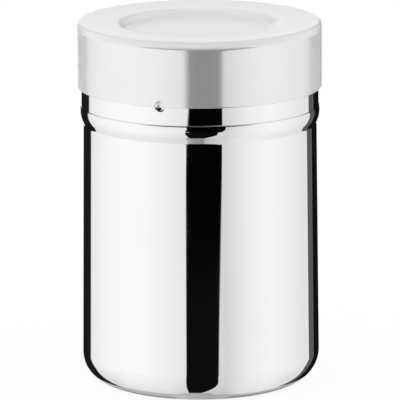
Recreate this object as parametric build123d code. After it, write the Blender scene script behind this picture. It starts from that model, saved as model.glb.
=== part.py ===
from build123d import *
import os
from math import cos, radians, tan

# Spice shaker: a drawn steel cup, a pressed steel lid with a woven sieve, and a plastic dust cap.
# Millimetres, +Z up. The origin is the centre of the foot ring, on the plane the cup stands on.
# The lid lifts straight up off the cup, and the cap straight up off the lid.

# --- Cup: one piece of drawn sheet ---
FOOT_RADIUS = 35.1  # the wall carried down to the standing plane
WALL_TAPER = 0.8  # how much narrower the wall is where it meets the bead
CUP_GAUGE = 0.6
BASE_CORNER_RADIUS = 9.0
FOOT_RING_WIDTH = 1.8  # flat ring that the cup stands on
DISH_RISE = 1.0  # the base is dished up inside the foot ring
DISH_SLOPE_WIDTH = 3.5
DISH_BEND_RADIUS = 3.0
SHOULDER_HEIGHT = 82.6  # the lid seats on the shoulder above the bead

# Bead under the shoulder
BEAD_HEIGHT = 5.3
BEAD_CROWN_DROP = 2.66  # from the shoulder down to where the bead's two slopes meet
BEAD_STAND_OUT = 0.38  # where they meet, beyond the lid's skirt
BEAD_EDGE_STAND_OUT = 0.10  # shoulder's edge beyond the lid's skirt
BEAD_CROWN_RADIUS = 7.0
BEAD_FOOT_RADIUS = 1.2
SHOULDER_EDGE_RADIUS = 0.45
NECK_FOOT_RADIUS = 0.3

# Neck inside the lid
RIM_HEADROOM = 7.0  # free height from the rim to the lid's underside
RIM_CURL_WIDTH = 2.1
RIM_CURL_DROP = 1.6
RIM_CURL_RADIUS = 1.0

# --- Lid: pressed sheet with three inward dimples that grip the neck ---
LID_STAND_OUT = 0.58  # skirt beyond the wall under the bead
LID_GAUGE = 0.6
LID_HEIGHT = 23.2
LID_CORNER_RADIUS = 1.6
LID_FLAT_WIDTH = 10.0  # from the skirt in to the sieve's opening
LIP_BEND_RADIUS = 1.0  # the opening's edge is turned down to the sieve
DIMPLE_COUNT = 3
DIMPLE_AZIMUTH = 250.0  # of the first one, degrees from +X
DIMPLE_HEIGHT = 5.7  # its centre above the skirt's lower edge
DIMPLE_WIDTH = 3.4
DIMPLE_DEPTH = 0.9
GRIP_CLEARANCE = 0.05  # a dimple's tip to the neck

# --- Sieve: woven wire, held under the lid by a pressed ring ---
WIRE_DIAMETER = 0.4
WIRE_PITCH = 2.0
SIEVE_GRIP_WIDTH = 2.2  # how far the sieve reaches past the opening
RING_GAUGE = 0.5
RING_CLEARANCE = 0.15  # sieve's edge to the ring's wall, and the bend at the foot of that wall
RING_FLANGE_WIDTH = 3.0
RING_BEND_RADIUS = 0.8

# --- Dust cap: thin moulded plastic, a push fit over the lid ---
CAP_WALL = 0.8
CAP_CLEARANCE = 0.05
BARE_STRIP = 5.3  # steel left bare between the cap's edge and the lid's edge
CAP_CORNER_RADIUS = 1.15
CAP_TOP_FALL = 0.7  # the top falls by this much from its corner in to the seat
CAP_SEAT_WIDTH = 4.1  # level ring round the recess, which rests on the lid
CAP_SEAT_BEND_RADIUS = 20.0
RECESS_MARGIN = 1.0  # the recess dips into the sieve's opening, this much narrower
RECESS_DEPTH = 1.9
RECESS_SLOPE_WIDTH = 2.7
RECESS_BEND_RADIUS = 1.2
RECESS_CLEARANCE = 0.2  # its underside to the sieve

# --- Sizes that follow ---
wall_top_radius = FOOT_RADIUS - WALL_TAPER
dish_radius = FOOT_RADIUS - BASE_CORNER_RADIUS - FOOT_RING_WIDTH
lid_radius = wall_top_radius + LID_STAND_OUT
lid_top = SHOULDER_HEIGHT + LID_HEIGHT
lid_underside = lid_top - LID_GAUGE
neck_radius = lid_radius - LID_GAUGE - DIMPLE_DEPTH - GRIP_CLEARANCE
rim_top = lid_underside - RIM_HEADROOM
opening_radius = lid_radius - LID_FLAT_WIDTH
sieve_radius = opening_radius + SIEVE_GRIP_WIDTH
sieve_thickness = 2 * WIRE_DIAMETER
ring_radius = sieve_radius + RING_CLEARANCE
cap_inner_radius = lid_radius + CAP_CLEARANCE
cap_radius = cap_inner_radius + CAP_WALL
cap_bottom = SHOULDER_HEIGHT + BARE_STRIP
cap_seat = lid_top + CAP_WALL
cap_top = cap_seat + CAP_TOP_FALL
recess_radius = opening_radius - RECESS_MARGIN
recess_floor = cap_seat - RECESS_DEPTH
sieve_top = recess_floor - CAP_WALL - RECESS_CLEARANCE
sieve_bottom = sieve_top - sieve_thickness


def directions(corners):
    """Unit direction of each straight run between corners."""
    runs = [Vector(*b) - Vector(*a) for a, b in zip(corners, corners[1:])]
    return [run.normalized() for run in runs]


def inset(corners, gauge):
    """The corners moved to the sheet's other skin, on the left of the path."""
    normals = [Vector(-d.Y, d.X) for d in directions(corners)]
    sides = zip([normals[0]] + normals, normals + [normals[-1]])
    shifts = [(a + b) / (1 + a.dot(b)) for a, b in sides]
    return [(x + gauge * s.X, z + gauge * s.Y) for (x, z), s in zip(corners, shifts)]


def bend(corner, before, after, radius):
    """Start, middle and end of the arc that rounds one corner."""
    turn = radians(before.get_angle(after))
    reach = radius * tan(turn / 2)
    middle = (after - before).normalized() * (radius / cos(turn / 2) - radius)
    point = Vector(*corner)
    return point - before * reach, point + middle, point + after * reach


def skin(corners, radii):
    """Edges of a path through corners, with each inner corner rounded."""
    ways = directions(corners)
    edges = []
    last = Vector(*corners[0])
    for corner, before, after, radius in zip(corners[1:], ways, ways[1:], radii):
        if radius > 0:
            start, middle, end = bend(corner, before, after, radius)
            edges += [Line(last, start), ThreePointArc(start, middle, end)]
        else:
            end = Vector(*corner)
            edges.append(Line(last, end))
        last = end
    return edges + [Line(last, Vector(*corners[-1]))]


def turned_sheet(corners, radii, gauge):
    """A sheet turned round Z: corners (radius, height) and bend radii are of the skin that they follow.

    The sheet lies to the left of that path, and a bend's two skins share one centre.
    """
    ways = directions(corners)
    turns = [a.X * b.Y - a.Y * b.X for a, b in zip(ways, ways[1:])]
    other = [max(r - gauge, 0) if turn > 0 else r + gauge for r, turn in zip(radii, turns)]
    far = inset(corners, gauge)
    ends = [Line(corners[0], far[0]), Line(corners[-1], far[-1])]
    section = make_face(Curve() + skin(corners, radii) + skin(far, other) + ends)
    return revolve(Plane.XZ * section, Axis.Z)


def make_cup():
    """Base dish, foot ring, tapered wall, bead, shoulder, neck and curled rim, in one sheet."""
    bead_foot = SHOULDER_HEIGHT - BEAD_HEIGHT
    corners = [
        (0, DISH_RISE),
        (dish_radius - DISH_SLOPE_WIDTH, DISH_RISE),
        (dish_radius, 0),
        (FOOT_RADIUS, 0),
        (wall_top_radius, bead_foot),
        (lid_radius + BEAD_STAND_OUT, SHOULDER_HEIGHT - BEAD_CROWN_DROP),
        (lid_radius + BEAD_EDGE_STAND_OUT, SHOULDER_HEIGHT),
        (neck_radius, SHOULDER_HEIGHT),
        (neck_radius, rim_top),
        (neck_radius - RIM_CURL_WIDTH, rim_top),
        (neck_radius - RIM_CURL_WIDTH, rim_top - RIM_CURL_DROP),
    ]
    radii = [
        DISH_BEND_RADIUS,
        DISH_BEND_RADIUS,
        BASE_CORNER_RADIUS,
        BEAD_FOOT_RADIUS,
        BEAD_CROWN_RADIUS,
        SHOULDER_EDGE_RADIUS,
        NECK_FOOT_RADIUS,
        RIM_CURL_RADIUS,
        RIM_CURL_RADIUS,
    ]
    return turned_sheet(corners, radii, CUP_GAUGE)


def dimple_ball(growth):
    """A ball that leaves a dimple of the named width and depth in the skirt, grown by an amount."""
    ball_radius = ((DIMPLE_WIDTH / 2) ** 2 + DIMPLE_DEPTH**2) / (2 * DIMPLE_DEPTH)
    distance = lid_radius - DIMPLE_DEPTH + ball_radius
    place = Pos(distance, 0, SHOULDER_HEIGHT + DIMPLE_HEIGHT)
    return Rot(0, 0, DIMPLE_AZIMUTH) * place * Sphere(ball_radius + growth)


def make_lid():
    """Skirt, flat top and turned-down lip round the opening, with the dimples pressed in."""
    corners = [
        (lid_radius, SHOULDER_HEIGHT),
        (lid_radius, lid_top),
        (opening_radius, lid_top),
        (opening_radius, sieve_top),
    ]
    lid = turned_sheet(corners, [LID_CORNER_RADIUS, LIP_BEND_RADIUS], LID_GAUGE)
    plug = Pos(0, 0, SHOULDER_HEIGHT) * Cylinder(
        lid_radius - LID_GAUGE / 2, LID_HEIGHT, align=(Align.CENTER, Align.CENTER, Align.MIN)
    )
    bump = dimple_ball(LID_GAUGE) & plug
    for index in range(DIMPLE_COUNT):
        turn = Rot(0, 0, index * 360 / DIMPLE_COUNT)
        lid = lid + turn * bump - turn * dimple_ball(0)
    return lid


def make_sieve():
    """The woven wire as a flat disc with a square grid of apertures inside the opening."""
    aperture = WIRE_PITCH - WIRE_DIAMETER
    per_side = int(2 * opening_radius / WIRE_PITCH)
    centres = [c.position for c in GridLocations(WIRE_PITCH, WIRE_PITCH, per_side, per_side)]
    reach = opening_radius - aperture
    inside = [Pos(c.X, c.Y) for c in centres if c.length < reach]
    sheet = Circle(sieve_radius) - [place * Rectangle(aperture, aperture) for place in inside]
    return Pos(0, 0, sieve_bottom) * extrude(sheet, sieve_thickness)


def make_sieve_ring():
    """Ring under the lid: a flange on the lid's underside, a short wall, and a ledge for the sieve."""
    corners = [
        (ring_radius + RING_FLANGE_WIDTH, lid_underside),
        (ring_radius, lid_underside),
        (ring_radius, sieve_bottom),
        (opening_radius, sieve_bottom),
    ]
    return turned_sheet(corners, [RING_BEND_RADIUS, RING_CLEARANCE], RING_GAUGE)


def make_dust_cap():
    """Skirt, a top that falls gently in to its seat on the lid, and a recess in the opening."""
    corners = [
        (cap_radius, cap_bottom),
        (cap_radius, cap_top),
        (recess_radius + CAP_SEAT_WIDTH, cap_seat),
        (recess_radius, cap_seat),
        (recess_radius - RECESS_SLOPE_WIDTH, recess_floor),
        (0, recess_floor),
    ]
    radii = [CAP_CORNER_RADIUS, CAP_SEAT_BEND_RADIUS, RECESS_BEND_RADIUS, RECESS_BEND_RADIUS]
    return turned_sheet(corners, radii, CAP_WALL)


def build_nodes():
    """Every sub-part by its node's name."""
    return {
        "body_cup": make_cup(),
        "shaker_lid": make_lid(),
        "sieve_mesh": make_sieve(),
        "sieve_ring": make_sieve_ring(),
        "dust_cap": make_dust_cap(),
    }


os.makedirs("parts", exist_ok=True)
for node, solid in build_nodes().items():
    export_step(solid, f"parts/{node}.step")
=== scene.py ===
"""Spice shaker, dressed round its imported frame.

A polished drawn cup, a pressed lid with a woven sieve under it, and a frosted dust cap. Every
shell is a sheet turned round the Z axis: its sizes come from the frame's boxes and from the
gauges and bends that each class names, in millimetres.
"""
import logging
import math
from dataclasses import dataclass
from enum import Enum
from typing import Any, Sequence, Union

import bpy
import numpy as np
from mathutils import Matrix, Vector


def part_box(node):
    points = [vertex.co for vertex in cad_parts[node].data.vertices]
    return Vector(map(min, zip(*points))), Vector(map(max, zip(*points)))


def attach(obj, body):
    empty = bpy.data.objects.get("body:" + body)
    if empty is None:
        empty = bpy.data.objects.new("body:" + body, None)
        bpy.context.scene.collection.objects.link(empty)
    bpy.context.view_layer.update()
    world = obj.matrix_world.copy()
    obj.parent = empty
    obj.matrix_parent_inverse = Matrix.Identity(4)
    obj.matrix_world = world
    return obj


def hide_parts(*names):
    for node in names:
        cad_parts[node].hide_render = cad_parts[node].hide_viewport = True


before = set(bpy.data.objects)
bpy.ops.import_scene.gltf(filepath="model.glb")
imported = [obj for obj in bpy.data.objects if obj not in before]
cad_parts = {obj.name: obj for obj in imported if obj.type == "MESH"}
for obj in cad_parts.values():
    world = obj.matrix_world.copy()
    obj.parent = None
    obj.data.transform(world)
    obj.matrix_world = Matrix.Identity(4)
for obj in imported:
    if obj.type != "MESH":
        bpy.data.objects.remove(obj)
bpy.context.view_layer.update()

LOG = logging.getLogger("spice_shaker")
MM = 0.001
ARC_STEP = 6.0  # largest turn between two points of an arc, in degrees
RUN_STEP = 6.0 * MM  # longest step along a turned section
Corner = tuple[float, float]
Span = tuple[float, float]
Stops = tuple[Corner, ...]
Value = Union["Wire", float, Sequence[float]]


class Body(Enum):
    """The frame's bodies."""

    CUP = "cup"
    LID = "lid"
    CAP = "cap"


class Slot(Enum):
    """The record's material slots."""

    CUP = "polished_steel"
    LID = "lid_steel"
    SIEVE = "woven_wire"
    RING = "ring_steel"
    CAP = "frosted_plastic"


# ---- shader maths


class Wire:
    """A shader value: arithmetic on it adds Math nodes to its graph."""

    def __init__(self, graph: "Graph", socket: bpy.types.NodeSocket) -> None:
        """Wraps one output socket of a graph."""
        self.graph = graph
        self.socket = socket

    def __add__(self, other: Value) -> "Wire":
        """self + other."""
        return self.graph.maths("ADD", self, other)

    def __sub__(self, other: Value) -> "Wire":
        """self - other."""
        return self.graph.maths("SUBTRACT", self, other)

    def __rsub__(self, other: Value) -> "Wire":
        """other - self."""
        return self.graph.maths("SUBTRACT", other, self)

    def __mul__(self, other: Value) -> "Wire":
        """self * other."""
        return self.graph.maths("MULTIPLY", self, other)

    def __truediv__(self, other: Value) -> "Wire":
        """self / other."""
        return self.graph.maths("DIVIDE", self, other)

    __radd__ = __add__
    __rmul__ = __mul__

    def __rtruediv__(self, other: Value) -> "Wire":
        """other / self."""
        return self.graph.maths("DIVIDE", other, self)

    def most(self, other: Value) -> "Wire":
        """The larger of the two."""
        return self.graph.maths("MAXIMUM", self, other)

    def along(self, stops: Stops) -> "Wire":
        """A value read off straight runs between (place, value) stops.

        Args:
            stops: places in rising order, and the values there.

        Returns:
            The value at self.
        """
        places, values = zip(*stops)
        start, reach = places[0], places[-1] - places[0]
        low, high = min(values), max(values)
        ramp = [((place - start) / reach, (value - low) / (high - low)) for place, value in stops]
        inputs = {"Fac": (self - start) / reach}
        return self.graph.node("ShaderNodeValToRGB", inputs, {"stops": ramp}).blend(low, high)

    def rise(self, start: float, end: float) -> "Wire":
        """A smooth step.

        Args:
            start: where it is 0.
            end: where it is 1, above or below start.

        Returns:
            The step's value at self.
        """
        if end < start:
            return 1 - self.rise(end, start)
        inputs = {"Value": self, "From Min": start, "From Max": end}
        return self.graph.node("ShaderNodeMapRange", inputs, {"interpolation_type": "SMOOTHSTEP"})

    def between(self, low: Value, high: Value, soft: float) -> "Wire":
        """1 from low to high and 0 outside, with edges that are soft wide."""
        half = soft / 2
        return (self - low).rise(-half, half) * (high - self).rise(-half, half)

    def blend(self, low: Value, high: Value) -> "Wire":
        """low where self is 0 and high where it is 1."""
        return self * (high - low) + low


class Graph:
    """One node tree, built from nothing."""

    def __init__(self, tree: bpy.types.NodeTree) -> None:
        """Empties the tree."""
        self.tree = tree
        tree.nodes.clear()

    def node(
        self,
        kind: str,
        inputs: dict[str | int, Value] | None = None,
        settings: dict[str, Any] | None = None,
        output: str | int = 0,
    ) -> Wire:
        """Adds a node.

        Args:
            kind: the node's type.
            inputs: values or wires by socket name or number.
            settings: its properties, set first; "stops" fills a colour ramp with (place, grey).
            output: the socket to hand back.

        Returns:
            The wanted output as a wire.
        """
        made = self.tree.nodes.new(kind)
        for name, value in (settings or {}).items():
            if name == "stops":
                self._fill_ramp(made.color_ramp, value)
            else:
                setattr(made, name, value)
        for key, value in (inputs or {}).items():
            self._plug(made.inputs[key], value)
        return Wire(self, made.outputs[output] if made.outputs else None)

    def maths(self, operation: str, *values: Value) -> Wire:
        """One Math node on the values."""
        return self.node("ShaderNodeMath", dict(enumerate(values)), {"operation": operation})

    def split(self, vector: Wire) -> tuple[Wire, Wire, Wire]:
        """Takes a vector apart.

        Args:
            vector: the vector.

        Returns:
            Its three parts.
        """
        made = self.node("ShaderNodeSeparateXYZ", {0: vector}).socket.node
        return tuple(Wire(self, socket) for socket in made.outputs)

    def join(self, x: Value, y: Value, z: Value) -> Wire:
        """A vector from its three parts."""
        return self.node("ShaderNodeCombineXYZ", {0: x, 1: y, 2: z})

    def radius(self, x: Wire, y: Wire) -> Wire:
        """Distance from the Z axis, in metres."""
        return self.maths("SQRT", x * x + y * y)

    def azimuth(self, x: Wire, y: Wire) -> Wire:
        """Degrees round the Z axis, from the front and to the right."""
        return self.maths("ARCTAN2", x, y * -1) * math.degrees(1)

    def grey(self, level: Value) -> Wire:
        """A colour with three equal channels."""
        return self.node("ShaderNodeCombineColor", {0: level, 1: level, 2: level})

    def noise(self, place: Wire, scale: float, detail: float = 2.0) -> Wire:
        """Soft noise from 0 to 1, with scale cells per metre."""
        inputs = {"Vector": place, "Scale": scale, "Detail": detail}
        return self.node("ShaderNodeTexNoise", inputs)

    def bump(self, height: Wire, depth: float) -> Wire:
        """A normal bent by a height from 0 to 1 that stands for a depth in metres."""
        inputs = {"Strength": 1.0, "Distance": depth, "Height": height}
        return self.node("ShaderNodeBump", inputs)

    def mix(self, share: Wire, first: Wire, second: Wire) -> Wire:
        """The first shader where the share is 0 and the second where it is 1."""
        return self.node("ShaderNodeMixShader", {0: share, 1: first, 2: second})

    def _plug(self, socket: bpy.types.NodeSocket, value: Value) -> None:
        """Links a wire to a socket, or sets its value."""
        if isinstance(value, Wire):
            self.tree.links.new(value.socket, socket)
        else:
            socket.default_value = value

    @staticmethod
    def _fill_ramp(ramp: bpy.types.ColorRamp, stops: Sequence[Corner]) -> None:
        """Gives a ramp its grey stops.

        Args:
            ramp: a new ramp.
            stops: (place, grey) from 0 to 1.
        """
        while len(ramp.elements) < len(stops):
            ramp.elements.new(0.5)
        for element, (place, level) in zip(ramp.elements, stops):
            element.position = place
            element.color = (level, level, level, 1)


def new_material(name: str) -> tuple[bpy.types.Material, Graph]:
    """Makes an empty node material.

    Args:
        name: its name.

    Returns:
        The material and its graph.
    """
    material = bpy.data.materials.new(name)
    material.use_nodes = True
    return material, Graph(material.node_tree)


# ---- finishes


@dataclass(frozen=True)
class Finish:
    """A procedural surface, read in Object coordinates.

    Args:
        name: the material's name.
        grey: base colour, the same in all channels.
        roughness: where the surface is clean.
    """

    name: str
    grey: float
    roughness: float

    def make(self) -> bpy.types.Material:
        """Builds the material.

        Returns:
            The new material.
        """
        material, graph = new_material(self.name)
        place = graph.node("ShaderNodeTexCoord", output="Object")
        graph.node("ShaderNodeOutputMaterial", {"Surface": self.shader(graph, place)})
        return material

    def shader(self, graph: Graph, place: Wire) -> Wire:
        """The whole surface: one Principled shader unless a finish mixes more."""
        return graph.node("ShaderNodeBsdfPrincipled", self.surface(graph, place))

    def surface(self, graph: Graph, place: Wire) -> dict[str | int, Value]:
        """The Principled shader's sockets, for one kind of finish."""
        raise NotImplementedError


@dataclass(frozen=True)
class PolishedSteel(Finish):
    """Mirror-polished sheet: hairlines round the axis, smudges and a few dull spots.

    Args:
        smudge: roughness that a smudge adds.
        hairline: depth of the polishing hairlines, in metres.
    """

    smudge: float = 0.03
    hairline: float = 1.0e-7

    def surface(self, graph: Graph, place: Wire) -> dict[str | int, Value]:
        """Hairlines from noise stretched round the axis, and smudges from two soft noises."""
        x, y, z = graph.split(place)
        lines = graph.noise(graph.join(graph.radius(x, y) * 4, z * 9, 0.0), scale=900.0)
        film = graph.noise(place, scale=38.0, detail=3.0).rise(0.52, 0.72)
        prints = graph.noise(place, scale=160.0, detail=4.0).rise(0.55, 0.7)
        dull = film * 0.6 + film * prints * 0.4
        grain = graph.noise(graph.join(x, y, z * 14), scale=1500.0, detail=3.0)
        return {
            "Base Color": graph.grey(self.grey - dull * 0.015 - grain * 0.01),
            "Metallic": 1.0,
            "Roughness": dull * self.smudge + grain * 0.02 + self.roughness,
            "Normal": graph.bump(lines, self.hairline),
        }


@dataclass(frozen=True)
class DrawnWire(Finish):
    """Bright drawn wire and spun ring: fine dull grain with duller patches."""

    def surface(self, graph: Graph, place: Wire) -> dict[str | int, Value]:
        """Grain and patches from two noises."""
        grain = graph.noise(place, scale=9000.0)
        patch = graph.noise(place, scale=220.0, detail=3.0)
        return {
            "Base Color": graph.grey(self.grey + patch * 0.08 - 0.04),
            "Metallic": 1.0,
            "Roughness": grain * 0.12 + patch * 0.08 + self.roughness,
        }


@dataclass(frozen=True)
class FrostedPlastic(Finish):
    """Translucent moulded plastic: a clear, finely frosted body with a milky cloud in it.

    Args:
        milk: how deep the cloud is. A ray at cosine c meets a share 1 - exp(-milk / c) of it.
        top_milk: how much deeper it is in the thick top.
        top: heights between which the thick top starts, in millimetres.
        thick_within: radii between which all is thick, in millimetres.
        rim, recess: radii between which the painted shade of each starts.
        foot: a height on the axis, below the cap. Faces that turn away from it are outer ones.
        milk_grey: colour of the cloud.
        rim_painted_shade, recess_painted_shade: painted shade, how much greyer the cloud is there.
        refraction: index of refraction.
        frost: depth of the frost's grain, in metres.
    """

    milk: float = 0.40
    top_milk: float = 1.6
    top: Span = (104.7, 105.9)
    thick_within: Span = (34.0, 31.0)
    rim: Span = (23.0, 25.0)
    recess: Span = (22.5, 20.0)
    foot: float = 60.0
    milk_grey: float = 0.93
    rim_painted_shade: float = 0.06
    recess_painted_shade: float = 0.10
    refraction: float = 1.33
    frost: float = 2.0e-6

    def shader(self, graph: Graph, place: Wire) -> Wire:
        """The clear body, and over it the cloud as the outer faces show it.

        The cloud is painted a little greyer in the thick rim, and more over the dark sieve: painted
        shade.

        Args:
            graph: the material's graph.
            place: Object coordinates.

        Returns:
            The mixed shader.
        """
        x, y, z = graph.split(place)
        radius = graph.radius(x, y) / MM
        high = (z / MM).rise(*self.top)
        clear = graph.node("ShaderNodeBsdfPrincipled", self.surface(graph, place))
        # painted shade: the cloud is greyer on the top rim, and more over the recess above the dark
        # sieve
        rim = high * radius.rise(*self.rim) * self.rim_painted_shade
        inner = radius.rise(*self.recess) * self.recess_painted_shade
        patches = graph.noise(place, scale=120.0, detail=3.0) * 0.02
        sockets = self.surface(graph, place) | {
            "Base Color": graph.grey(self.milk_grey - patches - rim - inner),
            "Transmission Weight": 0.0,
        }
        cloud = graph.node("ShaderNodeBsdfPrincipled", sockets)
        facing = graph.node("ShaderNodeLayerWeight", {"Blend": 0.5}, output="Facing")
        milk = high.most(radius.rise(*self.thick_within)) * self.top_milk + self.milk
        depth = milk / (1 - facing).most(0.02)
        across, along, up = graph.split(graph.node("ShaderNodeTexCoord", output="Normal"))
        away = across * x + along * y + up * (z - self.foot * MM)
        outward = graph.maths("GREATER_THAN", away, 0.0)
        outside = outward * (1 - graph.node("ShaderNodeNewGeometry", output="Backfacing"))
        share = (1 - graph.maths("EXPONENT", depth * -1)) * outside
        return graph.mix(share, clear, cloud)

    def surface(self, graph: Graph, place: Wire) -> dict[str | int, Value]:
        """Frost from a fine noise as bump, and haze from a soft one as roughness."""
        grain = graph.noise(place, scale=6000.0)
        haze = graph.noise(place, scale=90.0, detail=4.0)
        return {
            "Base Color": graph.grey(self.grey - haze * 0.004),
            "Roughness": haze * 0.04 + self.roughness,
            "IOR": self.refraction,
            "Transmission Weight": 1.0,
            "Normal": graph.bump(grain, self.frost),
        }


# ---- turned sheet


@dataclass(frozen=True)
class Outline:
    """A closed section in (radius, height), in metres, with the outward normal at each point."""

    points: np.ndarray
    normals: np.ndarray


def rounded(corners: np.ndarray, radii: np.ndarray, to_axis: bool) -> Outline:
    """Rounds a closed polygon's corners.

    Each corner with bend radius r between unit runs a and b becomes the arc of radius r that is
    tangent to both, from r tan(t/2) before the corner to as much after it, where t is the turn.
    Normals are the runs' left or right hand sides turned evenly along the arc.

    Args:
        corners: (n, 2) points, anticlockwise as (radius, height).
        radii: bend radius at each corner; 0 leaves two points with the two runs' own normals.
        to_axis: whether the first and last corners lie on the axis, with no run between.

    Returns:
        The rounded outline.
    """
    after = np.roll(corners, -1, axis=0) - corners
    after /= np.linalg.norm(after, axis=1, keepdims=True)
    before = np.roll(after, 1, axis=0)
    points, normals = [], []
    for index, (corner, a, b, r) in enumerate(zip(corners, before, after, radii)):
        if to_axis and index in (0, len(corners) - 1):
            run = b if index == 0 else a
            points.append(corner[None])
            normals.append(np.array([[0.0, -np.sign(run[0])]]))
            continue
        turn = math.atan2(a[0] * b[1] - a[1] * b[0], float(a @ b))
        count = max(2, int(abs(math.degrees(turn)) / ARC_STEP) + 1)
        angle = np.linspace(0, turn, count)
        out = np.array([a[1], -a[0]])
        cos, sin = np.cos(angle), np.sin(angle)
        normal = np.stack([cos * out[0] - sin * out[1], sin * out[0] + cos * out[1]], axis=1)
        reach = r * math.tan(abs(turn) / 2)
        centre = corner - a * reach - out * r * math.copysign(1, turn)
        points.append(centre + normal * r * math.copysign(1, turn))
        normals.append(normal)
    return Outline(np.concatenate(points), np.concatenate(normals))


@dataclass(frozen=True)
class Sheet:
    """A bent sheet's section, in millimetres.

    Args:
        corners: (radius, height) of the skin that is followed; the sheet lies to its left.
        bends: bend radius at each inner corner, on that skin.
        gauge: the sheet's thickness.
        edge: rounding of the sheet's cut edges.
    """

    corners: Sequence[Corner]
    bends: Sequence[float]
    gauge: float
    edge: float = 0.15

    def outline(self) -> Outline:
        """The closed section: the followed skin, then the other skin back, moved by the gauge.

        Returns:
            The outline in metres.
        """
        skin = np.array(self.corners, float)
        run = np.diff(skin, axis=0)
        run /= np.linalg.norm(run, axis=1, keepdims=True)
        left = np.stack([-run[:, 1], run[:, 0]], axis=1)
        a, b = np.vstack([left[:1], left]), np.vstack([left, left[-1:]])
        other = skin + self.gauge * (a + b) / (1 + np.sum(a * b, axis=1, keepdims=True))
        turn = run[:-1, 0] * run[1:, 1] - run[:-1, 1] * run[1:, 0]
        bends = np.array(self.bends, float)
        far_bends = np.where(turn > 0, np.maximum(bends - self.gauge, 0), bends + self.gauge)
        ends = [0.0 if radius == 0 else self.edge for radius in skin[[0, -1], 0]]
        radii = np.concatenate([ends[:1], bends, ends[1:], ends[1:], far_bends[::-1], ends[:1]])
        corners = np.concatenate([skin, other[::-1]])
        if skin[-1, 0] == 0:
            corners = np.roll(corners, len(skin), axis=0)
            radii = np.roll(radii, len(skin))
        return rounded(corners * MM, radii * MM, 0.0 in ends)


def split_runs(
    outline: Outline, longest: float, closed: bool, span: Span = (-math.inf, math.inf)
) -> Outline:
    """Adds points along an outline's long runs.

    A run between points p and q becomes equal steps no longer than the limit, and normals are
    blended the same way.

    Args:
        outline: the outline to refine.
        longest: the longest step, in metres.
        closed: whether the last point runs back to the first.
        span: lowest and highest place of the runs that are split.

    Returns:
        The finer outline.
    """
    ends = np.roll(np.arange(len(outline.points)), -1)
    points, normals = [], []
    for here, there in enumerate(ends):
        p, q = outline.points[here], outline.points[there]
        m, n = outline.normals[here], outline.normals[there]
        last = (there == 0 and not closed) or min(p[1], q[1]) < span[0] or max(p[1], q[1]) > span[1]
        count = 1 if last else max(1, math.ceil(float(np.linalg.norm(q - p)) / longest))
        share = (np.arange(count) / count)[:, None]
        points.append(p + (q - p) * share)
        normals.append(m + (n - m) * share)
    normal = np.concatenate(normals)
    return Outline(np.concatenate(points), normal / np.linalg.norm(normal, axis=1, keepdims=True))


def build_mesh(
    name: str, points: np.ndarray, faces: list, normals: np.ndarray | None
) -> bpy.types.Object:
    """Makes an object of a point array and its faces.

    Args:
        name: the object's name.
        points: (n, 3) places in metres.
        faces: lists of point numbers.
        normals: (n, 3) smooth normals, or None for Blender's own.

    Returns:
        The object, linked to the scene.
    """
    mesh = bpy.data.meshes.new(name)
    mesh.from_pydata(points, [], faces)
    mesh.shade_smooth()
    if normals is not None:
        mesh.normals_split_custom_set_from_vertices(normals)
    made = bpy.data.objects.new(name, mesh)
    bpy.context.scene.collection.objects.link(made)
    return made


def strips(number: np.ndarray, closed: bool) -> list:
    """Joins a grid's rows and columns by quads.

    Args:
        number: (rows, columns) point numbers; the last column runs on to the first.
        closed: whether the last row runs on to the first.

    Returns:
        The quads.
    """
    here, there = (number, np.roll(number, -1, axis=0)) if closed else (number[:-1], number[1:])
    sides = [here, np.roll(here, -1, axis=1), np.roll(there, -1, axis=1), there]
    return np.stack(sides, axis=2).reshape(-1, 4).tolist()


@dataclass
class Turning:
    """An outline turned round Z, with its poles closed.

    Point (i, j) of the grid is (r_i cos u_j, r_i sin u_j, z_i). Where an outline starts and ends
    on the axis, each pole is one point with a fan of triangles.

    Args:
        outline: the section.
        angles: the columns' azimuths, in radians.
        closed: whether the section runs back to its start, clear of the axis.
    """

    outline: Outline
    angles: np.ndarray
    closed: bool

    def grids(self) -> tuple[np.ndarray, np.ndarray]:
        """Places and normals as (rows, columns, 3) arrays.

        Returns:
            The two grids.
        """
        cos, sin = np.cos(self.angles), np.sin(self.angles)

        def turned(pairs: np.ndarray) -> np.ndarray:
            """One (radius, height) list carried round the axis."""
            r, z = pairs[:, :1], pairs[:, 1:]
            return np.stack([r * cos, r * sin, z + 0 * cos], axis=2)

        return turned(self.outline.points), turned(self.outline.normals)

    def build(self, name: str, places: np.ndarray, normals: np.ndarray) -> bpy.types.Object:
        """Joins the grid's points.

        Args:
            name: the object's name.
            places: the grid's places, moved or not.
            normals: its normals.

        Returns:
            The object.
        """
        rows, columns = places.shape[:2]
        number = np.arange(rows * columns).reshape(rows, columns)
        places, normals = places.reshape(-1, 3), normals.reshape(-1, 3)
        if self.closed:
            return build_mesh(name, places, strips(number, True), normals)
        kept = slice(columns - 1, number[-1, 0] + 1)
        number -= columns - 1
        inner, pole = number[1:-1], np.zeros_like(number[0])
        beside = np.roll(inner, -1, axis=1)
        low_fan = np.stack([pole, beside[0], inner[0]], axis=1)
        high_fan = np.stack([pole + number[-1, 0], inner[-1], beside[-1]], axis=1)
        faces = strips(inner, False) + low_fan.tolist() + high_fan.tolist()
        return build_mesh(name, places[kept], faces, normals[kept])


def even_angles(count: int) -> np.ndarray:
    """Azimuths of evenly spaced columns."""
    return np.arange(count) * math.tau / count


def turn_sheet(name: str, sheet: Sheet, columns: int = 288) -> bpy.types.Object:
    """Turns a sheet's section round Z.

    Args:
        name: the object's name.
        sheet: the section.
        columns: steps round the axis.

    Returns:
        The object.
    """
    closed = all(corner[0] > 0 for corner in (sheet.corners[0], sheet.corners[-1]))
    outline = split_runs(sheet.outline(), RUN_STEP, closed)
    turning = Turning(outline, even_angles(columns), closed)
    return turning.build(name, *turning.grids())


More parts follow.
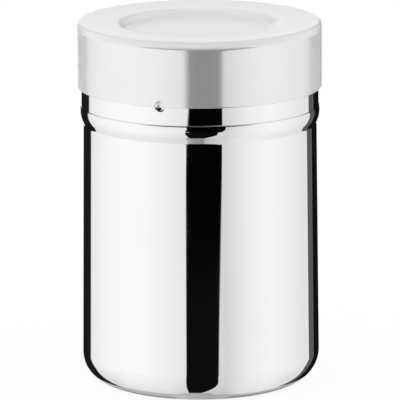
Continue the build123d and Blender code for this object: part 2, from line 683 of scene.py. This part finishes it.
def settle(piece: bpy.types.Object, node: str, body: Body, finish: Finish) -> None:
    """Dresses a piece and puts it in its node's place.

    Args:
        piece: the new piece.
        node: the CAD node that it stands for.
        body: what it rides on.
        finish: its surface.
    """
    piece.data.materials.append(finish.make())
    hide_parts(node)
    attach(piece, body.value)
    LOG.info("%s: %d faces on %s", piece.name, len(piece.data.polygons), body.value)


def radius_mm(node: str) -> float:
    """A node's outer radius."""
    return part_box(node)[1].x / MM


def span_mm(node: str) -> Span:
    """A node's lowest and highest point."""
    low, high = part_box(node)
    return low.z / MM, high.z / MM


# ---- the pieces


@dataclass
class Cup:
    """The drawn cup: dished base, wall, bead, shoulder, neck and curled rim."""

    gauge: float = 0.6
    foot_radius: float = 35.1
    wall_taper: float = 0.8
    corner_radius: float = 9.0
    foot_ring: float = 1.8
    dish_rise: float = 1.0
    dish_slope: float = 3.5
    dish_bend: float = 3.0
    bead_height: float = 5.3
    bead_foot_bend: float = 1.2
    crown_drop: float = 2.66
    crown_bend: float = 7.0
    crown_stand_out: float = 0.38
    edge_stand_out: float = 0.10
    shoulder_bend: float = 0.45
    neck_bend: float = 0.3
    dimple_reach: float = 1.55
    curl_width: float = 2.1
    curl_drop: float = 1.6
    curl_bend: float = 1.0
    columns: int = 320
    finish: Finish = PolishedSteel("polished steel, cup", 0.93, 0.015)

    def sheet(self) -> Sheet:
        """The cup's section, from the base's centre out and up to the curl.

        Returns:
            The sheet.
        """
        shoulder = span_mm("shaker_lid")[0]
        rim = span_mm("body_cup")[1]
        lid = radius_mm("shaker_lid")
        neck = lid - self.dimple_reach
        dish = self.foot_radius - self.corner_radius - self.foot_ring
        corners = [
            (0.0, self.dish_rise),
            (dish - self.dish_slope, self.dish_rise),
            (dish, 0.0),
            (self.foot_radius, 0.0),
            (self.foot_radius - self.wall_taper, shoulder - self.bead_height),
            (lid + self.crown_stand_out, shoulder - self.crown_drop),
            (lid + self.edge_stand_out, shoulder),
            (neck, shoulder),
            (neck, rim),
            (neck - self.curl_width, rim),
            (neck - self.curl_width, rim - self.curl_drop),
        ]
        bends = [
            self.dish_bend, self.dish_bend, self.corner_radius, self.bead_foot_bend,
            self.crown_bend, self.shoulder_bend, self.neck_bend, self.curl_bend, self.curl_bend,
        ]
        return Sheet(corners, bends, self.gauge)

    def build(self) -> None:
        """Turns the cup and dresses it."""
        piece = turn_sheet("drawn_cup", self.sheet(), self.columns)
        settle(piece, "body_cup", Body.CUP, self.finish)


@dataclass
class Lid:
    """The pressed lid with its dimples, sieve and ring."""

    gauge: float = 0.6
    skirt_lean: float = 0.26
    corner_bend: float = 1.6
    flat_width: float = 10.0
    lip_bend: float = 1.0
    dimple_azimuths: tuple[float, ...] = (251.0, 11.0, 131.0)
    dimple_height: float = 5.5
    dimple_width: float = 3.15
    dimple_depth: float = 0.9
    dimple_lip: float = 0.05
    ring_gauge: float = 0.5
    ring_flange: float = 3.0
    ring_bend: float = 0.8
    ring_seat_bend: float = 0.15
    wire_pitch: float = 2.0
    wire_diameter: float = 0.4
    even_columns: int = 240
    fine_columns: int = 45
    row: float = 1.0
    fine_row: float = 0.12
    fine_reach: float = 0.9
    finish: Finish = PolishedSteel("polished steel, lid", 0.93, 0.015)
    wire_finish: Finish = DrawnWire("drawn wire", 0.72, 0.22)
    ring_finish: Finish = DrawnWire("spun ring", 0.75, 0.26)

    def opening(self) -> float:
        """Radius of the sieve's opening."""
        return radius_mm("shaker_lid") - self.flat_width

    def sheet(self) -> Sheet:
        """The lid's section, from the skirt's lower edge up and in to the lip.

        Returns:
            The sheet.
        """
        low, high = span_mm("shaker_lid")
        radius = radius_mm("shaker_lid")
        corners = [
            (radius, low),
            (radius - self.skirt_lean, high),
            (self.opening(), high),
            (self.opening(), span_mm("sieve_mesh")[1]),
        ]
        return Sheet(corners, [self.corner_bend, self.lip_bend], self.gauge)

    def columns(self) -> np.ndarray:
        """Even azimuths, with fine ones across three quarters of a width each side of a dimple.

        Returns:
            The azimuths in radians, rising.
        """
        span = math.degrees(self.dimple_width / radius_mm("shaker_lid"))
        even = np.degrees(even_angles(self.even_columns))
        steps = np.linspace(-0.75, 0.75, self.fine_columns) * span
        fine = [a + steps for a in self.dimple_azimuths]
        away = [np.abs((even - a + 180) % 360 - 180) > 0.78 * span for a in self.dimple_azimuths]
        kept = even[np.all(away, axis=0)]
        return np.radians(np.sort(np.concatenate([kept, *fine]) % 360))

    def dented(self, places: np.ndarray, normals: np.ndarray) -> tuple[np.ndarray, np.ndarray]:
        """Presses the dimples into the grid.

        At a distance d from a dimple's centre, along the skirt, the skin moves inwards by the
        height of a ball's cap of the dimple's width and depth. The cap's height h, which is
        negative outside, is eased to (h + sqrt(h^2 + lip^2)) / 2. There the normals are the
        cross product of the grid's two central differences.

        Args:
            places: the grid's places in metres.
            normals: its normals.

        Returns:
            The moved places and their normals.
        """
        x, y, z = np.moveaxis(places, 2, 0)
        low, high = (height * MM for height in span_mm("shaker_lid"))
        centre = low + self.dimple_height * MM
        half, depth, lip = self.dimple_width / 2 * MM, self.dimple_depth * MM, self.dimple_lip * MM
        ball = (half**2 + depth**2) / (2 * depth)
        skirt = radius_mm("shaker_lid") * MM
        radius = np.hypot(x, y)
        on_skirt = (radius > skirt - 2 * self.gauge * MM) & (z < (low + high) / 2)
        inward = np.zeros_like(x)
        for azimuth in np.radians(self.dimple_azimuths):
            along = (np.arctan2(y, x) - azimuth + math.pi) % math.tau - math.pi
            square = (along * skirt) ** 2 + (z - centre) ** 2
            cap = np.sqrt(np.maximum(ball**2 - square, 0)) - ball + depth
            near = on_skirt & (square < (1.4 * half) ** 2)
            inward += np.where(near, (cap + np.sqrt(cap**2 + lip**2)) / 2, 0)
        scale = 1 - inward / radius
        moved = np.stack([x * scale, y * scale, z], axis=2)
        down = np.roll(moved, -1, axis=0) - np.roll(moved, 1, axis=0)
        beside = np.roll(moved, -1, axis=1) - np.roll(moved, 1, axis=1)
        bent = np.cross(beside, down)
        bent /= np.linalg.norm(bent, axis=2, keepdims=True)
        return moved, np.where(inward[..., None] > 0, bent, normals)

    def build(self) -> None:
        """Turns, dents and dresses the lid, then its sieve and ring."""
        centre = span_mm("shaker_lid")[0] + self.dimple_height
        reach = self.fine_reach * self.dimple_width
        span = (centre - reach) * MM, (centre + reach) * MM
        outline = split_runs(self.sheet().outline(), self.row * MM, True)
        outline = split_runs(outline, self.fine_row * MM, True, span)
        turning = Turning(outline, self.columns(), True)
        piece = turning.build("pressed_lid", *self.dented(*turning.grids()))
        settle(piece, "shaker_lid", Body.LID, self.finish)
        self.build_ring()
        self.build_sieve()

    def build_ring(self) -> None:
        """The ring that clamps the wire cloth: flange, wall and ledge."""
        underside = span_mm("shaker_lid")[1] - self.gauge
        cloth = span_mm("sieve_mesh")[0]
        wall = radius_mm("sieve_ring") - self.ring_flange
        corners = [
            (wall + self.ring_flange, underside),
            (wall, underside),
            (wall, cloth),
            (self.opening(), cloth),
        ]
        sheet = Sheet(corners, [self.ring_bend, self.ring_seat_bend], self.ring_gauge, 0.1)
        piece = turn_sheet("clamp_ring", sheet, 192)
        settle(piece, "sieve_ring", Body.LID, self.ring_finish)

    def build_sieve(self) -> None:
        """Woven wires, cut to the disc."""
        cloth = WireCloth(
            radius=radius_mm("sieve_mesh") * MM,
            height=sum(span_mm("sieve_mesh")) / 2 * MM,
            pitch=self.wire_pitch * MM,
            wire=self.wire_diameter / 2 * MM,
        )
        settle(cloth.build("woven_sieve"), "sieve_mesh", Body.LID, self.wire_finish)


@dataclass
class WireCloth:
    """Plain-woven wire, cut to a disc. Sizes are in metres.

    Wire i at x = i p runs along y at height w (-1)^i cos(pi y / p), where w is the wire's radius
    and p the pitch, and the crossing wires take the opposite sign, so each crossing touches.

    Args:
        radius: the disc's radius.
        height: middle of the cloth.
        pitch: from wire to wire.
        wire: the wire's radius.
        sides: faces round a wire.
        steps: points along a wire for each pitch.
    """

    radius: float
    height: float
    pitch: float
    wire: float
    sides: int = 8
    steps: int = 5

    def strands(self, sign: int) -> tuple[np.ndarray, list]:
        """All wires of one direction, as tubes along y.

        Args:
            sign: which way the first wire starts.

        Returns:
            Their points and faces.
        """
        reach = int((self.radius - self.wire) / self.pitch)
        order = np.arange(-reach, reach + 1)
        across = order * self.pitch
        chord = np.sqrt((self.radius - self.wire) ** 2 - across**2)
        count = int(2 * self.radius / self.pitch * self.steps)
        along = chord[:, None] * np.linspace(-1, 1, count)
        phase = math.pi * along / self.pitch
        swing = sign * self.wire * np.where(order % 2, -1, 1)[:, None]
        slope = -swing * math.pi / self.pitch * np.sin(phase)
        lean = 1 / np.sqrt(1 + slope**2)
        angle = even_angles(self.sides)
        cos, sin = np.cos(angle), np.sin(angle)
        x = across[:, None, None] + self.wire * cos + 0 * along[:, :, None]
        y = along[:, :, None] - (slope * lean)[:, :, None] * self.wire * sin
        z = (swing * np.cos(phase))[:, :, None] + lean[:, :, None] * self.wire * sin + self.height
        points = np.stack([x, y, z], axis=3)
        number = np.arange(points[..., 0].size).reshape(points.shape[:3])
        beside = np.roll(number, -1, axis=2)
        quads = [number[:, :-1], number[:, 1:], beside[:, 1:], beside[:, :-1]]
        faces = np.stack(quads, axis=3).reshape(-1, 4).tolist()
        ends = number[:, 0].tolist() + number[:, -1, ::-1].tolist()
        return points.reshape(-1, 3), faces + ends

    def build(self, name: str) -> bpy.types.Object:
        """Both directions as one object.

        Args:
            name: the object's name.

        Returns:
            The object.
        """
        warp, warp_faces = self.strands(1)
        weft, weft_faces = self.strands(-1)
        weft = weft[:, [1, 0, 2]]
        weft_faces = [[index + len(warp) for index in reversed(face)] for face in weft_faces]
        return build_mesh(name, np.concatenate([warp, weft]), warp_faces + weft_faces, None)


@dataclass
class DustCap:
    """The frosted cap: skirt, raised rim and round recess."""

    wall: float = 0.8
    corner_bend: float = 1.15
    top_fall: float = 0.7
    seat_width: float = 4.1
    seat_bend: float = 20.0
    recess_radius: float = 23.88
    recess_depth: float = 1.9
    recess_slope: float = 2.7
    recess_bend: float = 3.0
    edge: float = 0.25
    finish: Finish = FrostedPlastic("frosted plastic", 1.0, 0.17)

    def sheet(self) -> Sheet:
        """The cap's section, from the skirt's edge up and in to the recess's centre.

        Returns:
            The sheet.
        """
        low = span_mm("dust_cap")[0]
        seat = span_mm("shaker_lid")[1] + self.wall
        radius = radius_mm("dust_cap")
        floor = seat - self.recess_depth
        corners = [
            (radius, low),
            (radius, seat + self.top_fall),
            (self.recess_radius + self.seat_width, seat),
            (self.recess_radius, seat),
            (self.recess_radius - self.recess_slope, floor),
            (0.0, floor),
        ]
        bends = [self.corner_bend, self.seat_bend, self.recess_bend, self.recess_bend]
        return Sheet(corners, bends, self.wall, self.edge)

    def build(self) -> None:
        """Turns the cap and dresses it."""
        piece = turn_sheet("frosted_cap", self.sheet())
        settle(piece, "dust_cap", Body.CAP, self.finish)


# ---- the studio


@dataclass(frozen=True)
class Flag:
    """A dark strip of the studio that the steel mirrors, by azimuth in degrees from the front."""

    left: float
    right: float
    level: float
    soft: float


@dataclass
class Studio:
    """Floor, light and camera. Azimuth 0 is the front and grows to the right.

    Angles are in degrees, and radii on the floor in millimetres. A name in _start is the two
    elevations or radii between which that thing sets in, by a smooth step. One in _reach is its
    two ends, and one in _soft the width of the blur there.

    Args:
        ambient: the world's level for diffuse light.
        gain: from the walls' levels to the world's strength.
        walls: (azimuth, level) of the studio's white walls.
        flags: the dark strips beside the shaker.
        flag_glow: light that they pick up from the ground at their feet.
        flag_turn: how far they spread for each degree below flag_turn_from.
        back_level: level of the low ground far behind the shaker.
        back_sides: azimuths between which it starts, on either side.
        ground: (azimuth, share) by which the ground is darker than the walls.
        front_left, front_right: (elevation, azimuth) of the edges of the dark gap in front.
        front_level: its level above and below.
        patch: (azimuth, level) of the ground below it.
        floor_left, floor_right: (radius, azimuth) of the gap's edges on the floor.
        floor_fall: (radius, share) of the floor's light.
        fall_right: azimuths between which the fall eases off to fall_right_share.
        focus: radius of the cup's focus as a round mirror.
        shade_edge: (azimuth, radius) of the foot's shade on the floor.
        shade_level: (azimuth, level) in it.
        foot_dark: how much darker the shade is close to the foot.
        foot_sides: squared azimuths between which it does.
        shown_reach: azimuths of the floor that the cup mirrors.
        shown_core: radii between which it starts to be shown all round.
        lamps: name, place and energy of the soft lamps.
        aim_height: height of the aim on the shaker's axis, in metres.
    """

    ambient: float = 0.78
    gain: float = 1.075
    walls: Stops = (
        (-180, 0.95), (-133, 0.80), (-100, 0.93), (-75, 0.955), (-54, 0.94), (-35, 0.88),
        (-17, 0.80), (25, 0.66), (38, 0.77), (49, 0.855), (71, 0.915), (91, 0.87),
        (106, 0.815), (124, 0.75), (180, 0.95),
    )
    flags: tuple[Flag, ...] = (
        Flag(-163, -134.4, 0.010, 3.0),
        Flag(143, 172, 0.006, 1.5),
        Flag(130.8, 143, 0.095, 1.0),
    )
    flag_reach: Span = (-75.0, 80.0)
    flag_soft: float = 8.0
    flag_glow: float = 0.12
    flag_glow_start: Span = (-32, -60)
    flag_turn: float = 0.8
    flag_turn_from: float = -25.0
    back_level: float = 0.03
    back_start: Span = (-14, -19)
    back_sides: Span = (149, 152)
    ground: Stops = ((-180, 0.84), (-30, 0.84), (40, 0.93), (180, 0.93))
    ground_start: Span = (-12, -50)
    front_left: Stops = (
        (-45, -12.0), (-33.4, -12.2), (-25, -13.4), (-22, -14.2), (-18, -14.2), (-14, -13.7),
        (-11, -13.7), (-10.3, -13.0), (-10.0, -10.0), (-8.9, -9.7), (-8.5, -14.0), (-6.9, -14.0),
        (0.5, -12.4), (20, -12.4), (32, -70), (80, -70),
    )
    front_right: Stops = (
        (-45, 6.0), (-39, 6.0), (-33.8, 10.9), (-28, 15.5), (-24, 17.2), (-19, 17.4), (-14.4, 17.2),
        (-13.4, 17.1), (-12.6, 17.8), (-11.1, 20.8), (-10.5, 22.0), (-9.6, 21.4), (-2.5, 24.0),
        (8, 26.0), (25, 60.0), (80, 60.0),
    )
    front_soft: float = 1.0
    front_level: Span = (0.001, 0.0038)
    front_level_start: Span = (-11.3, -12.3)
    front_start: Span = (-40.3, -38.7)
    patch: Stops = (
        (-16, 0.40), (-11.5, 0.38), (-9, 0.31), (-6, 0.28), (4.8, 0.27), (6.2, 0.47), (14, 0.52),
        (20, 0.60), (30, 0.66),
    )
    patch_reach: Span = (-15.5, 28)
    patch_soft: float = 2.0
    floor_left: Stops = ((33, -6.6), (34.7, -7.2), (37, -8.0), (44.8, -8.9), (60, -9.9))
    floor_right: Stops = (
        (33, 0.0), (34.2, 3.3), (35, 4.9), (36, 6.6), (37.7, 8.5), (40.6, 10.2), (50, 11.4),
        (62, 12.0),
    )
    floor_soft: float = 0.8
    floor_fall: Stops = ((31, 0.72), (34, 0.83), (36.5, 0.895), (42, 0.94), (60, 0.98))
    fall_right: Span = (-10, 20)
    fall_right_share: float = 0.65
    focus: float = 17.0
    shade_edge: Stops = (
        (-75, 31.3), (-57, 31.4), (-45, 32.1), (-20, 31.95), (-13, 32.2), (-9, 33.1), (5, 33.2),
        (8, 32.0), (14, 31.9), (24, 31.1), (75, 31.4),
    )
    shade_soft: float = 0.4
    shade_level: Stops = (
        (-75, 0.45), (-20, 0.46), (-12, 0.49), (-5, 0.42), (5, 0.38), (12, 0.42), (75, 0.41),
    )
    foot_dark: float = 0.4
    foot_start: Span = (30.6, 29.4)
    foot_sides: Span = (100, 300)
    shown_reach: Span = (-50, 50)
    shown_soft: float = 12.0
    shown_start: Span = (61, 54)
    shown_core: Span = (31.7, 31.3)
    lamps: tuple[tuple[str, tuple[float, float, float], float], ...] = (
        ("soft_key", (-1.56, -0.28, 0.28), 7.5),
        ("soft_fill", (1.56, -0.28, 0.28), 5.5),
    )
    lamp_size: float = 1.2
    lens_distance: float = 1.5
    elevation: float = 12.24
    lens_mm: float = 459.4
    roll: float = -0.24
    aim_height: float = 0.05354

    def build(self) -> None:
        """World, floor, contact shade, lamps and camera."""
        self.build_world()
        self.build_floor()
        self.build_lamps()
        self.build_camera()
        LOG.info("studio ready")

    def seen_level(self, azimuth: Wire, elevation: Wire) -> Wire:
        """What a mirror sees: white walls, dark flags, the dark gap in front, and the ground.

        Args:
            azimuth: degrees from the front.
            elevation: degrees above the horizon.

        Returns:
            The level, where 1 is white.
        """
        low = elevation.rise(*self.ground_start)
        level = azimuth.along(self.walls) * low.blend(1.0, azimuth.along(self.ground))
        tall = elevation.between(*self.flag_reach, self.flag_soft)
        spread = (self.flag_turn_from - elevation).most(0.0) * self.flag_turn
        side = azimuth.graph.maths("SIGN", azimuth)
        turned = azimuth - side * spread
        back = (turned * side).rise(*self.back_sides) * elevation.rise(*self.back_start) * tall
        level = back.blend(level, self.back_level)
        glow = elevation.rise(*self.flag_glow_start) * self.flag_glow
        for flag in self.flags:
            mask = turned.between(flag.left, flag.right, flag.soft) * tall
            level = mask.blend(level, glow + flag.level)
        left, right = elevation.along(self.front_left), elevation.along(self.front_right)
        front = azimuth.between(left, right, self.front_soft)
        above = elevation.rise(*self.front_start)
        dark = elevation.rise(*self.front_level_start).blend(*self.front_level)
        level = (front * above * tall).blend(level, dark)
        near = azimuth.between(*self.patch_reach, self.patch_soft) * (1 - above)
        return near.blend(level, azimuth.along(self.patch)) * self.gain

    def build_world(self) -> None:
        """White for the camera, the studio for mirrors and clear plastic, plain light otherwise."""
        world = bpy.data.worlds.new("studio")
        bpy.context.scene.world = world
        world.use_nodes = True
        world.cycles.sampling_method = "NONE"
        graph = Graph(world.node_tree)
        x, y, z = graph.split(graph.node("ShaderNodeTexCoord", output="Generated"))
        elevation = graph.maths("ARCSINE", z) * math.degrees(1)
        mirrored = self.seen_level(graph.azimuth(x, y), elevation)
        camera = graph.node("ShaderNodeLightPath", output="Is Camera Ray")
        glossy = graph.node("ShaderNodeLightPath", output="Is Glossy Ray")
        through = graph.node("ShaderNodeLightPath", output="Is Transmission Ray")
        level = camera.blend(glossy.most(through).blend(self.ambient, mirrored), 1.0)
        back = graph.node("ShaderNodeBackground", {"Color": (1, 1, 1, 1), "Strength": level})
        graph.node("ShaderNodeOutputWorld", {"Surface": back})

    def build_floor(self) -> None:
        """A pale floor that keeps the shadow, seen by no mirror."""
        material, graph = new_material("pale floor")
        camera = graph.node("ShaderNodeLightPath", output="Is Camera Ray")
        back = graph.node("ShaderNodeNewGeometry", output="Backfacing")
        matte = graph.node("ShaderNodeBsdfDiffuse", {"Color": (0.85, 0.85, 0.85, 1)})
        glow = graph.node("ShaderNodeEmission", {"Color": (1, 1, 1, 1), "Strength": 1.05})
        both = graph.mix(camera * 0.85, matte, glow)
        shown = graph.mix(back, both, graph.node("ShaderNodeBsdfTransparent"))
        graph.node("ShaderNodeOutputMaterial", {"Surface": shown})
        floor = self.disc("floor", radius=6.0, height=-0.00002, columns=96)
        floor.data.materials.append(material)
        floor.visible_glossy = floor.visible_transmission = False
        self.build_contact_shade()

    def build_contact_shade(self) -> None:
        """The floor close round the foot, as the cup's lower edge mirrors it: a glowing disc that
        only mirrors see, with a painted reflection of the floor and the foot's painted shadow on
        it.

        Outside the foot's shade the floor is about as bright as the wall behind it, which the cup
        mirrors from R / (R - focus) times the floor's azimuth at a radius of R. It darkens towards
        the foot, as painted shade.
        """
        material, graph = new_material("contact shade")
        x, y, _ = graph.split(graph.node("ShaderNodeTexCoord", output="Object"))
        radius, azimuth = graph.radius(x, y) / MM, graph.azimuth(x, y)
        left, right = radius.along(self.floor_left), radius.along(self.floor_right)
        front = azimuth.between(left, right, self.floor_soft)
        fall = 1 - radius.along(self.floor_fall)
        level = (azimuth * radius / (radius - self.focus)).along(self.walls)
        ease = azimuth.rise(*self.fall_right).blend(1.0, self.fall_right_share)
        level = front.blend(level * (1 - fall * ease), self.front_level[1])
        aside = (azimuth * azimuth).rise(*self.foot_sides)
        foot = aside * radius.rise(*self.foot_start) * self.foot_dark
        shade = azimuth.along(self.shade_level) * (1 - foot)
        half = self.shade_soft / 2
        level = (radius - azimuth.along(self.shade_edge)).rise(half, -half).blend(level, shade)
        # painted reflection of the floor, with the foot's painted shadow, as a glow that only
        # mirrors see
        inputs = {"Color": graph.grey(level), "Strength": self.gain}
        glow = graph.node("ShaderNodeEmission", inputs)
        wide = azimuth.between(*self.shown_reach, self.shown_soft) * radius.rise(*self.shown_start)
        lit = wide.most(radius.rise(*self.shown_core))
        shown = graph.mix(lit, graph.node("ShaderNodeBsdfTransparent"), glow)
        graph.node("ShaderNodeOutputMaterial", {"Surface": shown})
        disc = self.disc("contact_shade", radius=0.062, height=-0.00001, columns=128)
        disc.data.materials.append(material)
        disc.visible_camera = disc.visible_diffuse = disc.visible_shadow = False
        disc.visible_transmission = False

    @staticmethod
    def disc(name: str, radius: float, height: float, columns: int) -> bpy.types.Object:
        """A flat disc of the stage.

        Args:
            name: the object's name.
            radius: its radius in metres.
            height: where it lies.
            columns: its corners.

        Returns:
            The disc.
        """
        angle = even_angles(columns)
        rim = np.stack([radius * np.cos(angle), radius * np.sin(angle), height + 0 * angle], axis=1)
        made = build_mesh(name, rim, [list(range(columns))], None)
        return made

    def build_lamps(self) -> None:
        """A broad soft lamp on each side, which no mirror sees."""
        for name, place, energy in self.lamps:
            lamp = bpy.data.lights.new(name, "AREA")
            lamp.shape = "DISK"
            lamp.size = self.lamp_size
            lamp.energy = energy
            made = bpy.data.objects.new(name, lamp)
            bpy.context.scene.collection.objects.link(made)
            made.location = place
            aim = Vector((0, 0, self.aim_height)) - made.location
            made.rotation_euler = aim.to_track_quat("-Z", "Y").to_euler()
            made.visible_camera = made.visible_glossy = made.visible_transmission = False

    def build_camera(self) -> None:
        """A long lens, a little above the shaker, aimed at its middle."""
        lens = bpy.data.cameras.new("camera")
        lens.lens = self.lens_mm
        lens.clip_start = 0.05
        lens.clip_end = 50.0
        camera = bpy.data.objects.new("camera", lens)
        bpy.context.scene.collection.objects.link(camera)
        tilt = math.radians(self.elevation)
        back = Vector((0, -math.cos(tilt), math.sin(tilt)))
        aim = Vector((0, 0, self.aim_height))
        turned = (-back).to_track_quat("-Z", "Y").to_matrix()
        rolled = turned @ Matrix.Rotation(math.radians(self.roll), 3, "Z")
        camera.matrix_world = Matrix.Translation(aim + back * self.lens_distance) @ rolled.to_4x4()
        bpy.context.scene.camera = camera


def set_colour() -> None:
    """Plain display of the render."""
    bpy.context.scene.view_settings.view_transform = "Standard"


def main() -> None:
    """Builds the shaker, then its studio."""
    logging.basicConfig(level=logging.INFO, format="%(name)s: %(message)s")
    Cup().build()
    Lid().build()
    DustCap().build()
    Studio().build()
    set_colour()


if __name__ == "__main__":
    main()
